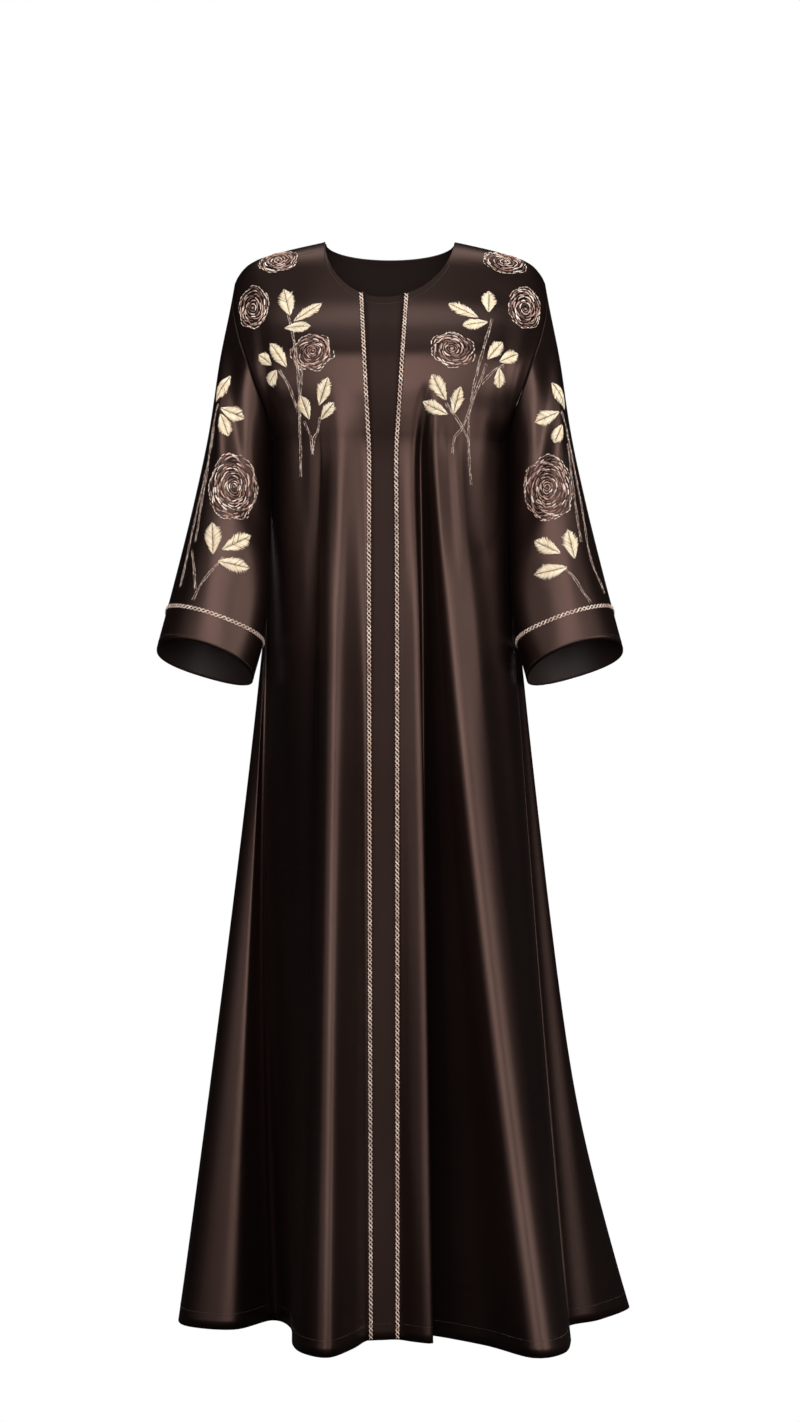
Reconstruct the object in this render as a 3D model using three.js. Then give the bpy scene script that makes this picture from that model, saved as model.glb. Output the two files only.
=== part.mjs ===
// A woman's closed abaya, hanging hollow as it is worn: a long flared robe with a centre placket between
// two corded trims, dropped wide sleeves and a round neck.
//
// Millimetres, +Z up. The origin is the middle of the neck opening at the height of the shoulder points,
// where the wearer's shoulders hold the garment up. The front faces -Y and +X is the viewer's right.
// "left" and "right" in the names are the viewer's, standing in front of the garment.
//
// The body is one continuous surface, cut into panels. body(q, w) gives a point of it: q runs once round
// the body, one unit for each row of the fold table, and w runs down, from 0 at the neckline and shoulder
// seams through 1 at the underarm to 2 at the hem. Every cloth piece is a wall between that surface and the
// same surface moved inwards by the cloth's thickness.
import * as THREE from "three";

// ---- driving dimensions -------------------------------------------------------------------------------
const clothThickness = 1.6;
const seamGap = 0.3;
const garmentLength = 1380; // shoulder point to hem
const underarmDrop = 256;
const neck = { halfWidth: 82, frontDrop: 78, backDrop: 16, share: 0.42 };
const shoulderTip = { halfWidth: 197, drop: 53 };
const underarmHalfWidth = 147;
const foldEase = 0.03; // share of a fold's length over which it starts
const chestCarry = 40; // how far below the underarm the chest's slope dies out
const placketShift = -8; // the placket hangs a little to the viewer's left of the middle
const trim = { halfWidth: 2.6, clearance: 0.3, edgeHeight: 0.8, crownHeight: 1.6 };
const cuffTrim = { outer: 0.9, inner: 0.845, halfShare: 0.0062 }; // shares of the sleeve's length

// ---- grids ----------------------------------------------------------------------------------------------
const upperRows = 12;
const lowerRows = 11;
const sleeveSides = 2 * upperRows; // the sleeve's ring shares the armhole's points
const sleeveRows = 11;
const frontFlatness = 0.75; // exponent of the sleeve's front half, 1 for half an ellipse
const columnSpacing = 29; // along the hem

// Rounded sections of the shoulders and chest, by the drop below the shoulder point.
// half: half-width of the outline; front, back: depth ahead of and behind the shoulder seam; round: exponent
// of the rounding, 2 for an ellipse and more for a squarer section.
const torso = [
  { drop: 0, half: 82, front: 12, back: 40, round: 2.2 },
  { drop: 12, half: 133, front: 27, back: 50, round: 2.2 },
  { drop: 22, half: 166, front: 35, back: 57, round: 2.2 },
  { drop: 33, half: 184, front: 42, back: 64, round: 2.2 },
  { drop: 53, half: 197, front: 52, back: 75, round: 2.2 },
  { drop: 83, half: 204, front: 67, back: 87, round: 2.2 },
  { drop: 125, half: 209, front: 98, back: 96, round: 2.2 },
  { drop: 160, half: 211, front: 115, back: 99, round: 2.2 },
  { drop: 190, half: 196, front: 117, back: 99, round: 2.3 },
  { drop: 222, half: 168, front: 114, back: 97, round: 2.5 },
  { drop: 246, half: 151.5, front: 110, back: 95, round: 2.8 },
  { drop: 256, half: 147, front: 108, back: 94, round: 2.9 },
];

// The armhole's outline seen from the front: half-width by drop.
const armhole = [
  { drop: 53, half: 197 },
  { drop: 83, half: 198 },
  { drop: 125, half: 190 },
  { drop: 154, half: 180 },
  { drop: 185, half: 169 },
  { drop: 220, half: 156 },
  { drop: 246, half: 149.3 },
  { drop: 256, half: 147 },
];

// One row for each ridge and valley of the skirt's folds, once round from the middle of the placket by way
// of the viewer's right. angle: place on the chest section (270 is the middle of the front); share: place
// on the top edge (0 front neck, 1 right armhole, 2 back neck, 3 left armhole); start: drop where the fold
// begins; x, y: its place on the hem; spread, depth: how late it reaches that place sideways and in depth;
// belly: how far it lies to the viewer's right of that course half way down.
const foldColumns = ["name", "angle", "share", "start", "x", "y", "spread", "depth", "belly"];
const folds = [
  ["placket", 266.9, 0, 200, -7, -77, 1, 0.8, 0],
  ["placketRight", 273.5, 0.09, 200, 10, -74, 1, 0.8, 0],
  ["panelRight", 277.8, 0.14, 195, 31, -90, 1, 0.7, 0],
  ["panelRidge", 281.6, 0.19, 190, 54, -98, 1, 0.6, 2],
  ["darkValley", 285.3, 0.25, 185, 46, -44, 1, 0.6, 0],
  ["pipeRightInner", 288.4, 0.32, 180, 118, -112, 1.2, 0.8, 0],
  ["pipeRight", 292, 0.41, 180, 174, -192, 1.3, 1, 0],
  ["pipeRightOuter", 302, 0.58, 190, 213, -162, 1.3, 1.05, 0],
  ["pipeRightEdge", 320, 0.78, 225, 226, -78, 1.35, 1.2, 0],
  ["seamRight", 360, 1, 262, 227, 14, 1.2, 1.3, 0],
  ["wingRight", 372, 1.06, 262, 271, 62, 1.15, 1.3, 0],
  ["wingRightTip", 384, 1.12, 262, 315, 158, 1.9, 1.3, 0],
  ["wingRightBack", 396, 1.2, 262, 262, 212, 1.25, 1.2, 0],
  ["backValley1", 406.5, 1.3, 240, 206, 196, 1.3, 1, 0],
  ["backRidge1", 417.5, 1.45, 200, 160, 262, 1.2, 0.9, 0],
  ["backValley2", 429, 1.65, 170, 92, 214, 1.1, 0.8, 0],
  ["backRidge2", 441.5, 1.9, 160, 38, 276, 1, 0.8, 0],
  ["backValley3", 457, 2.12, 160, -28, 220, 1, 0.8, 0],
  ["backRidge3", 471, 2.36, 170, -94, 266, 1.1, 0.8, 0],
  ["backValley4", 482.5, 2.56, 200, -142, 200, 1.2, 0.9, 0],
  ["backRidge4", 493, 2.7, 240, -206, 218, 1.3, 1.1, 0],
  ["backValley5", 503.5, 2.8, 262, -226, 152, 1.35, 1.2, 0],
  ["wingLeftBack", 512.5, 2.87, 262, -270, 96, 1.35, 1.2, -6],
  ["wingLeftTip", 520.5, 2.92, 262, -262, 20, 1.35, 1.2, -8],
  ["wingLeft", 528.5, 2.96, 262, -198, -8, 1.3, 1.3, -10],
  ["seamLeft", 540, 3, 262, -152, 56, 0.9, 0.9, -13],
  ["darkLeft", 562, 3.14, 240, -127, 6, 0.9, 1.1, -6],
  ["pipeLeftEdge", 592.5, 3.36, 200, -120, -110, 1.1, 1, 3],
  ["pipeLeftOuter", 598.9, 3.5, 190, -104, -166, 1.1, 0.9, 2],
  ["pipeLeft", 604.9, 3.62, 185, -74, -190, 1, 0.8, 0],
  ["pipeLeftInner", 611.7, 3.76, 190, -46, -136, 1, 0.7, 0],
  ["trimLeft", 617.3, 3.86, 195, -31, -87, 1, 0.8, 0],
  ["placketLeft", 619.8, 3.9, 200, -24, -80, 1, 0.8, 0],
].map((row) => Object.fromEntries(foldColumns.map((key, i) => [key, row[i]])));

// Sections of the sleeve on the viewer's right, as four points of each ring: [x, y, z].
const sleeveRings = [
  { share: 0, outer: [197, 0, -53], inner: [147, 0, -256], front: [181, -62, -154], back: [181, 56, -154] },
  { share: 0.2, outer: [212, -3, -142], inner: [150.5, -10, -311], front: [199, -74, -226], back: [204, 54, -236] },
  { share: 0.4, outer: [226, -8, -238], inner: [151.5, -26, -369], front: [207, -84, -300], back: [214, 50, -320] },
  { share: 0.6, outer: [246, -14, -332], inner: [151.5, -38, -433], front: [214, -93, -373], back: [222, 45, -400] },
  { share: 0.8, outer: [269, -22, -427], inner: [157, -43, -497], front: [223, -101, -443], back: [230, 39, -478] },
  { share: 1, outer: [294, -30, -521], inner: [172, -44, -557], front: [232, -108, -512], back: [237, 33, -553] },
];

// Folds of the sleeve: from, to: place round the ring in degrees (0 outer, 90 front, 180 inner) at the
// fold's ends; top, end: shares of the sleeve's length; width in degrees; height in millimetres.
const sleeveFolds = [
  { name: "upperRidge", from: 48, to: 128, top: 0.06, end: 0.62, width: 26, height: 5 },
  { name: "upperTrough", from: 78, to: 158, top: 0.04, end: 0.55, width: 26, height: -6 },
  { name: "innerRidge", from: 112, to: 172, top: 0.05, end: 0.5, width: 22, height: 4 },
  { name: "elbowTrough", from: 300, to: 230, top: 0.25, end: 0.75, width: 30, height: -5 },
  { name: "backRidge", from: 330, to: 262, top: 0.15, end: 0.8, width: 28, height: 4 },
];

// ---- small mathematics ----------------------------------------------------------------------------------
const step = 1e-3; // of the differences that give normals
const radians = (degrees) => (degrees * Math.PI) / 180;
const mix = (a, b, share) => a + (b - a) * share;
const clamp01 = (x) => Math.min(1, Math.max(0, x));
const smooth = (x) => clamp01(x) ** 2 * (3 - 2 * clamp01(x));

// A smooth curve through a table's column that doesn't overshoot its rows (monotone cubic).
function column(rows, at, value) {
  const x = rows.map((row) => row[at]);
  const y = rows.map((row) => row[value]);
  const slope = x.slice(1).map((_, i) => (y[i + 1] - y[i]) / (x[i + 1] - x[i]));
  const tangent = x.map((_, i) => {
    if (i === 0) return slope[0];
    if (i === x.length - 1) return slope[i - 1];
    const product = slope[i - 1] * slope[i];
    return product <= 0 ? 0 : (2 * product) / (slope[i - 1] + slope[i]);
  });
  return (where) => {
    const t = Math.min(x[x.length - 1], Math.max(x[0], where));
    let i = 0;
    while (i < x.length - 2 && t > x[i + 1]) i += 1;
    const h = x[i + 1] - x[i];
    const s = (t - x[i]) / h;
    return (
      y[i] * (1 + 2 * s) * (1 - s) ** 2 +
      tangent[i] * h * s * (1 - s) ** 2 +
      y[i + 1] * s * s * (3 - 2 * s) +
      tangent[i + 1] * h * s * s * (s - 1)
    );
  };
}

// A Catmull-Rom curve through a column of the fold table, closed after one turn that adds `turn`.
function roundColumn(value, turn = 0) {
  const count = folds.length;
  const row = (i) => folds[((i % count) + count) % count][value] + Math.floor(i / count) * turn;
  return (q) => {
    const i = Math.floor(q);
    const s = q - i;
    const [a, b, c, d] = [row(i - 1), row(i), row(i + 1), row(i + 2)];
    return b + 0.5 * s * (c - a + s * (2 * a - 5 * b + 4 * c - d + s * (3 * (b - c) + d - a)));
  };
}

const halfAt = column(torso, "drop", "half");
const frontAt = column(torso, "drop", "front");
const backAt = column(torso, "drop", "back");
const roundAt = column(torso, "drop", "round");
const armholeAt = column(armhole, "drop", "half");
const foldAt = {
  angle: roundColumn("angle", 360),
  share: roundColumn("share", 4),
  start: roundColumn("start"),
  x: roundColumn("x"),
  y: roundColumn("y"),
  spread: roundColumn("spread"),
  depth: roundColumn("depth"),
  belly: roundColumn("belly"),
};
const rowOf = (name) => folds.findIndex((fold) => fold.name === name);
const [placketRight, placketLeft] = [rowOf("placketRight"), rowOf("placketLeft")];
const [seamRight, seamLeft] = [rowOf("seamRight"), rowOf("seamLeft")];
const seamEdge = seamGap / 2;

// The shoulder seam's drop where the outline has a given half-width, by halving the interval.
function ridgeDrop(half) {
  let [low, high] = [0, shoulderTip.drop];
  for (let i = 0; i < 40; i += 1) {
    const middle = (low + high) / 2;
    if (halfAt(middle) < half) low = middle;
    else high = middle;
  }
  return high;
}

// ---- the body's surface -----------------------------------------------------------------------------------
// The top edge at a share: the neckline from 0 to neck.share of the way to the armhole, then the shoulder.
function topEdge(reach, side, isBack) {
  if (reach < neck.share) {
    const turn = (Math.PI / 2) * (reach / neck.share);
    const drop = isBack ? neck.backDrop : neck.frontDrop;
    const shift = isBack ? 0 : placketShift * (1 - reach / neck.share);
    return { x: side * neck.halfWidth * Math.sin(turn) + shift, drop: drop * Math.cos(turn) ** 1.1 };
  }
  const along = (reach - neck.share) / (1 - neck.share);
  const half = mix(neck.halfWidth, shoulderTip.halfWidth, along);
  return { x: side * half, drop: ridgeDrop(half) };
}

// Where a column meets the top edge: how far from the middle (0) to the armhole (1), and on which side.
function topPlace(q, isBack) {
  const share = foldAt.share(q);
  const turned = share > 2 ? share - 4 : share;
  const reach = clamp01(isBack ? 2 - Math.abs(turned) : Math.abs(turned));
  return { reach, side: turned < 0 ? -1 : 1 };
}

// Depth of the rounded torso at a place seen from the front.
function torsoDepth(x, drop, isBack) {
  const across = Math.min(1, Math.abs(x) / halfAt(drop));
  const power = roundAt(drop);
  const round = (1 - across ** power) ** (1 / power);
  return isBack ? backAt(drop) * round : -frontAt(drop) * round;
}

function chestSection(angle) {
  const [c, s] = [Math.cos(radians(angle)), Math.sin(radians(angle))];
  const power = roundAt(underarmDrop);
  const size = (Math.abs(c) ** power + Math.abs(s) ** power) ** (-1 / power);
  const depth = s > 0 ? backAt(underarmDrop) : frontAt(underarmDrop);
  return { x: underarmHalfWidth * size * c, y: depth * size * s };
}

// Above the underarm: from the top edge to the chest section.
function upperBody(q, w, isBack) {
  const chest = chestSection(foldAt.angle(q));
  const { reach, side } = topPlace(q, isBack);
  const top = topEdge(reach, side, isBack);
  const armDrop = mix(shoulderTip.drop, underarmDrop, w);
  const bend = armholeAt(armDrop) - mix(shoulderTip.halfWidth, underarmHalfWidth, w);
  const drop = mix(top.drop, underarmDrop, w);
  const x = mix(top.x, chest.x, w) + side * bend * clamp01((reach - 0.35) / 0.65) ** 2;
  return { x, y: torsoDepth(x, drop, isBack), drop };
}

// Below it: the chest section, which first keeps the slope that the part above ends with.
function lowerBody(q, w, isBack) {
  const chest = chestSection(foldAt.angle(q));
  const above = upperBody(q, 1 - step, isBack);
  const drop = mix(underarmDrop, garmentLength, w - 1);
  const below = drop - underarmDrop;
  const middle = 1 - smooth((topPlace(q, isBack).reach - 0.75) / 0.25);
  const carry = (middle * below * Math.exp(-below / chestCarry)) / (underarmDrop - above.drop);
  const along = (axis) => chest[axis] + (chest[axis] - above[axis]) * carry;
  return { x: along("x"), y: along("y"), drop };
}

// A fold grows from its start to its place on the hem, slowly at first.
function body(q, w, isBack) {
  const chest = chestSection(foldAt.angle(q));
  const { x, y, drop } = w < 1 ? upperBody(q, w, isBack) : lowerBody(q, w, isBack);
  const start = foldAt.start(q);
  const fall = clamp01((drop - start) / (garmentLength - start));
  const grown = ((1 + foldEase) * fall ** 2) / (fall + foldEase);
  const belly = foldAt.belly(q) * Math.sin(Math.PI * fall);
  return new THREE.Vector3(
    x + (foldAt.x(q) - chest.x) * grown ** foldAt.spread(q) + belly,
    y + (foldAt.y(q) - chest.y) * grown ** foldAt.depth(q),
    -drop,
  );
}

// ---- the sleeve's surface, for the viewer's right ------------------------------------------------------
const ringPoint = Object.fromEntries(
  ["outer", "inner", "front", "back"].map((corner) => {
    const axis = [0, 1, 2].map((k) => {
      const rows = sleeveRings.map((ring) => ({ share: ring.share, value: ring[corner][k] }));
      return column(rows, "share", "value");
    });
    return [corner, (t) => new THREE.Vector3(...axis.map((at) => at(t)))];
  }),
);

// A closed ring through its four corner points, its front half flatter than an ellipse.
function ring(t, turn) {
  const [outer, inner, front, back] = ["outer", "inner", "front", "back"].map((c) => ringPoint[c](t));
  const middle = outer.clone().add(inner).multiplyScalar(0.5);
  const bow = front.clone().add(back).multiplyScalar(0.5).sub(middle);
  const depth = Math.sin(turn) > 0 ? Math.sin(turn) ** frontFlatness : Math.sin(turn);
  return middle
    .addScaledVector(outer.sub(inner), 0.5 * Math.cos(turn))
    .addScaledVector(front.sub(back), 0.5 * depth)
    .addScaledVector(bow, depth ** 2);
}

// The sleeve's first edge at the same turn, 0 at the shoulder tip and a quarter turn at the front: half a
// seam's gap off the panels' edge, and lifted off their surface where the sleeve hangs down beside it.
const shoulderLine = body(seamRight, 0, false).sub(body(seamRight - 0.2, 0, false)).normalize();

function armholePlace(turn) {
  const isBack = Math.sin(turn) < 0;
  const down = 0.5 - 0.5 * Math.cos(turn);
  const beside = Math.min(1, 4 * Math.abs(Math.sin(turn)));
  const { normal, along } = bodyPlace(seamRight, Math.max(down, step), isBack, isBack ? 1 : -1);
  const point = body(seamRight, down, isBack)
    .addScaledVector(along, (isBack ? -0.5 : 0.5) * seamGap * beside)
    .addScaledVector(shoulderLine, down < 0.2 ? seamGap * (1 - beside) : 0)
    .addScaledVector(normal, 0.45 * down ** 3);
  return { point, normal, flush: beside * (1 - smooth(down / 0.45)) };
}

function sleeve(turn, t) {
  const point = ring(t, turn);
  const join = 1 - smooth(t / 0.4);
  point.addScaledVector(armholePlace(turn).point.sub(ring(0, turn)), join);
  const middle = ring(t, 0).add(ring(t, Math.PI)).multiplyScalar(0.5);
  const outward = point.clone().sub(middle).normalize();
  for (const fold of sleeveFolds) {
    const along = (t - fold.top) / (fold.end - fold.top);
    const strength = along > 0 && along < 1 ? Math.sin(Math.PI * along) ** 1.5 : 0;
    const centre = radians(mix(fold.from, fold.to, clamp01(along)));
    const away = Math.atan2(Math.sin(turn - centre), Math.cos(turn - centre)) / radians(fold.width);
    point.addScaledVector(outward, fold.height * strength * Math.exp(-away * away));
  }
  return point;
}

// ---- walls ----------------------------------------------------------------------------------------------
// Joins an outer and an inner grid of points, both [row][column], into one closed wall.
function wallGeometry(outer, inner, isRing = false) {
  const [rows, cols] = [outer.length, outer[0].length];
  const points = [...outer.flat(), ...inner.flat()];
  const index = [];
  const at = (row, col, side) => side * rows * cols + row * cols + (col % cols);
  const quad = (a, b, c, d) => index.push(a, b, c, a, c, d);
  const lastCol = isRing ? cols : cols - 1;
  for (let r = 0; r < rows - 1; r += 1) {
    for (let c = 0; c < lastCol; c += 1) {
      quad(at(r, c, 0), at(r + 1, c, 0), at(r + 1, c + 1, 0), at(r, c + 1, 0));
      quad(at(r, c, 1), at(r, c + 1, 1), at(r + 1, c + 1, 1), at(r + 1, c, 1));
    }
    if (!isRing) {
      quad(at(r, 0, 1), at(r + 1, 0, 1), at(r + 1, 0, 0), at(r, 0, 0));
      quad(at(r, cols - 1, 0), at(r + 1, cols - 1, 0), at(r + 1, cols - 1, 1), at(r, cols - 1, 1));
    }
  }
  for (let c = 0; c < lastCol; c += 1) {
    quad(at(0, c, 1), at(0, c, 0), at(0, c + 1, 0), at(0, c + 1, 1));
    quad(at(rows - 1, c, 0), at(rows - 1, c, 1), at(rows - 1, c + 1, 1), at(rows - 1, c + 1, 0));
  }
  const geometry = new THREE.BufferGeometry();
  const position = new Float32Array(points.flatMap((p) => [p.x, p.y, p.z]));
  geometry.setAttribute("position", new THREE.BufferAttribute(position, 3));
  geometry.setIndex(index);
  return geometry;
}

const bodyRows = [
  ...Array.from({ length: upperRows }, (_, i) => 0.5 - 0.5 * Math.cos((Math.PI * i) / upperRows)),
  ...Array.from({ length: lowerRows + 1 }, (_, i) => 1 + (i / lowerRows) ** 1.15),
];

// One place of the body with its outward normal and the direction square to its column, towards greater q.
// `lean` is -1 or 1 at the edge of a panel, where the differences stay on the panel's own side.
function bodyPlace(q, w, isBack, lean) {
  const oneSided = w < 1 ? lean : 0;
  const before = body(oneSided === 1 ? q : q - step, w, isBack);
  const after = body(oneSided === -1 ? q : q + step, w, isBack);
  const above = body(q, Math.max(w < 1 ? 0 : 1, w - step), isBack);
  const below = body(q, Math.min(w < 1 ? 1 : 2, w + step), isBack);
  const down = below.sub(above).normalize();
  const normal = new THREE.Vector3().crossVectors(down, after.sub(before)).normalize();
  const along = new THREE.Vector3().crossVectors(normal, down);
  const point = body(q, w, isBack);
  if (w === 0 && topPlace(q, isBack).reach > neck.share - 1e-6) {
    normal.setY(0).normalize(); // both walls of a shoulder seam stand square to it
    point.y += (isBack ? 0.5 : -0.5) * seamGap;
  }
  return { point, normal, along };
}

// Columns of a panel between two rows of the fold table: one on each row, and others evenly between them.
function columnsBetween(from, to) {
  const places = [];
  for (let row = from; row < to; row += 1) {
    const width = Math.hypot(foldAt.x(row + 1) - foldAt.x(row), foldAt.y(row + 1) - foldAt.y(row));
    const count = Math.max(1, Math.round(width / columnSpacing));
    for (let i = 0; i < count; i += 1) places.push({ q: row + i / count });
  }
  places.push({ q: to });
  Object.assign(places[0], { shift: seamEdge, lean: from === placketRight ? 0 : 1 });
  Object.assign(places[places.length - 1], { shift: -seamEdge, lean: to === placketLeft ? 0 : -1 });
  return places;
}

// A column of a panel: {q, shift, lean}: shift moves it along the surface, towards greater q.
function panel(cols, isBack) {
  const grid = bodyRows.map((w) =>
    cols.map(({ q, shift = 0, lean = 0 }) => {
      const place = bodyPlace(q, w, isBack, lean);
      place.point.addScaledVector(place.along, shift);
      return place;
    }),
  );
  const outer = grid.map((row) => row.map(({ point }) => point));
  const inner = grid.map((row) =>
    row.map(({ point, normal }) => point.clone().addScaledVector(normal, -clothThickness)),
  );
  return wallGeometry(outer, inner);
}

// The trim's edges fall on columns of their own beside the placket's seams.
const frontRightColumns = columnsBetween(placketRight, seamRight);
frontRightColumns.splice(1, 0, { q: placketRight, shift: trim.halfWidth });
const frontLeftColumns = columnsBetween(seamLeft, placketLeft);
frontLeftColumns.splice(frontLeftColumns.length - 1, 0, { q: placketLeft, shift: -trim.halfWidth });
const placketColumns = [
  { q: placketLeft - folds.length, shift: seamEdge },
  { q: placketLeft - folds.length, shift: trim.halfWidth },
  { q: 0 },
  { q: placketRight, shift: -trim.halfWidth },
  { q: placketRight, shift: -seamEdge },
];

// A corded trim along a seam of the placket, made from the panels' points moved out.
function placketTrim(q) {
  const profile = [
    { shift: -trim.halfWidth, height: trim.edgeHeight },
    { shift: 0, height: trim.crownHeight },
    { shift: trim.halfWidth, height: trim.edgeHeight },
  ];
  const lift = (extra) =>
    bodyRows.map((w) =>
      profile.map(({ shift, height }) => {
        const { point, normal, along } = bodyPlace(q, w, false, 0);
        return point
          .addScaledVector(along, shift)
          .addScaledVector(normal, trim.clearance + height * extra);
      }),
    );
  return wallGeometry(lift(1), lift(0));
}

// ---- sleeves and their trims ---------------------------------------------------------------------------
const sleeveShares = [
  ...Array.from({ length: sleeveRows - 2 }, (_, i) => (i / (sleeveRows - 2)) * cuffTrim.outer),
  cuffTrim.outer - cuffTrim.halfShare,
  cuffTrim.outer + cuffTrim.halfShare,
  1,
];
const cuffTrimShares = [-1, 0, 1].map((k) => cuffTrim.outer + k * cuffTrim.halfShare);

// The rows above the hem rise a little towards the inner side, with the cuff's trim.
function rowShare(turn, share) {
  const rise = mix(cuffTrim.outer, cuffTrim.inner, (0.5 - 0.5 * Math.cos(turn)) ** 2) / cuffTrim.outer;
  return share < 1 ? share * rise : 1;
}

function sleevePlace(turn, t) {
  const around = sleeve(turn + step, t).sub(sleeve(turn - step, t));
  const down = sleeve(turn, Math.min(1, t + step)).sub(sleeve(turn, Math.max(0, t - step)));
  const normal = new THREE.Vector3().crossVectors(around, down).normalize();
  if (t === 0) {
    const edge = armholePlace(turn); // over the shoulder, both walls of the seam stand the same way
    normal.lerp(edge.normal, edge.flush).normalize();
  }
  return { point: sleeve(turn, t), normal };
}

// A wall round the sleeve between two heights above its surface; side mirrors it across the body.
function sleeveWall(shares, side, outerHeight, innerHeight) {
  const turns = Array.from({ length: sleeveSides }, (_, i) => (2 * Math.PI * i) / sleeveSides);
  if (side > 0) turns.reverse();
  const grid = (height) =>
    shares.map((share) =>
      turns.map((turn) => {
        const { point, normal } = sleevePlace(turn, rowShare(turn, share));
        point.addScaledVector(normal, height);
        return point.setX(side * point.x);
      }),
    );
  return wallGeometry(grid(outerHeight), grid(innerHeight), true);
}

// ---- the garment ----------------------------------------------------------------------------------------
const satin = { color: 0x3d2c28, roughness: 0.42, metalness: 0 };
const cord = { color: 0xc9a595, roughness: 0.6, metalness: 0 };
const abaya = new THREE.Group();

function add(name, geometry, finish) {
  const mesh = new THREE.Mesh(geometry, new THREE.MeshStandardMaterial(finish));
  mesh.name = name;
  abaya.add(mesh);
}

add("front_right", panel(frontRightColumns, false), satin);
add("front_left", panel(frontLeftColumns, false), satin);
add("placket", panel(placketColumns, false), satin);
add("back", panel(columnsBetween(seamRight, seamLeft), true), satin);
add("placket_trim_right", placketTrim(placketRight), cord);
add("placket_trim_left", placketTrim(placketLeft - folds.length), cord);
for (const [name, side] of [["left", -1], ["right", 1]]) {
  add(`sleeve_${name}`, sleeveWall(sleeveShares, side, 0, -clothThickness), satin);
  const base = trim.clearance;
  add(`cuff_trim_${name}`, sleeveWall(cuffTrimShares, side, base + trim.edgeHeight, base), cord);
}

export default abaya;
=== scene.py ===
import math
import bpy
import numpy as np
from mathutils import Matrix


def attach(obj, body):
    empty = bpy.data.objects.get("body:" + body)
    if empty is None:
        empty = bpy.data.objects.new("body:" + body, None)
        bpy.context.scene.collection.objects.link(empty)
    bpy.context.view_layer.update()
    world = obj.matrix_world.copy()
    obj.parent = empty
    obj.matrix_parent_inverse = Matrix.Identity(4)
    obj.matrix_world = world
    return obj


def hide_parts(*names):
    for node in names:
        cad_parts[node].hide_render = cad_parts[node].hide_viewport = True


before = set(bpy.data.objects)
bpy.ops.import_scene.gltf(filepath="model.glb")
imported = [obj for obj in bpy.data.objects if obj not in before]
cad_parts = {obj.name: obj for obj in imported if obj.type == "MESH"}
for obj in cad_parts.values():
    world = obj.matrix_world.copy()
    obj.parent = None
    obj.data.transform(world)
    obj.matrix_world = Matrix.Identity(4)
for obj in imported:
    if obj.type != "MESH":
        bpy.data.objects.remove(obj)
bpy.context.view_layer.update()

rng = np.random.default_rng(11)
mm = 0.001

# ---- camera -------------------------------------------------------------------------------------------
view = {
    "distance": 4.2,  # metres in front of the garment's middle plane
    "side": 0.0127,
    "height": -0.5956,
    "shown": 1.806,  # height of the picture at the middle plane
}
camera = bpy.data.objects.new("camera", bpy.data.cameras.new("camera"))
camera.location = (view["side"], -view["distance"], view["height"])
camera.rotation_euler = (math.pi / 2, 0, 0)
camera.data.sensor_width = 36
camera.data.lens = camera.data.sensor_width * view["distance"] / view["shown"]
bpy.context.scene.collection.objects.link(camera)
bpy.context.scene.camera = camera
print("camera placed")


# ---- tables, in millimetres ----------------------------------------------------------------------------
def table(columns, *rows):
    # rows of numbers as one array for each named column
    return dict(zip(columns.split(), np.array(rows, float).T))


garment = {
    "thickness": 1.6,
    "length": 1380,  # shoulder point to hem
    "underarm": 256,  # its drop below the shoulder point
    "chestHalf": 147,
    "placketShift": -8,
    "foldEase": 0.03,  # share of a fold's length over which it starts
    "frontFlatness": 0.75,  # exponent of the sleeve's front half, 1 for half an ellipse
    "chestCarry": 40,  # how far below the underarm the chest's slope dies out
    "sideBag": 2.8,  # the cloth bags this far out below each underarm
    "bagLength": 175,
    "bagRise": 0.6,  # exponent that brings the bag's widest place nearer to the underarm
    "bagFrom": 105,  # half width at which the bag starts
    "bagFade": 35,
    "creaseEnd": 0.88,  # share of the way from the middle to the side seam where the creases start to die out
    "sleeveLift": 0.45,  # of the sleeve's first edge off the panels, at the underarm
}
neck = {"half": 82, "front": 78, "back": 16, "share": 0.42}
shoulderTip = {"half": 197, "drop": 53}

# drop below the shoulder point; half width; depth ahead of and behind the shoulder seam; squareness
torso = table(
    "drop half front back round",
    (0, 82, 12, 40, 2.2),
    (12, 133, 27, 50, 2.2),
    (22, 166, 35, 57, 2.2),
    (33, 184, 42, 64, 2.2),
    (53, 197, 52, 75, 2.2),
    (83, 204, 67, 87, 2.2),
    (125, 209, 98, 96, 2.2),
    (160, 211, 115, 99, 2.2),
    (190, 196, 117, 99, 2.3),
    (222, 168, 114, 97, 2.5),
    (246, 151.5, 110, 95, 2.8),
    (256, 147, 108, 94, 2.9),
)
armhole = table(
    "drop half",
    (53, 197), (83, 198), (125, 190), (154, 180), (185, 169), (220, 156), (246, 149.3), (256, 147),
)

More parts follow.
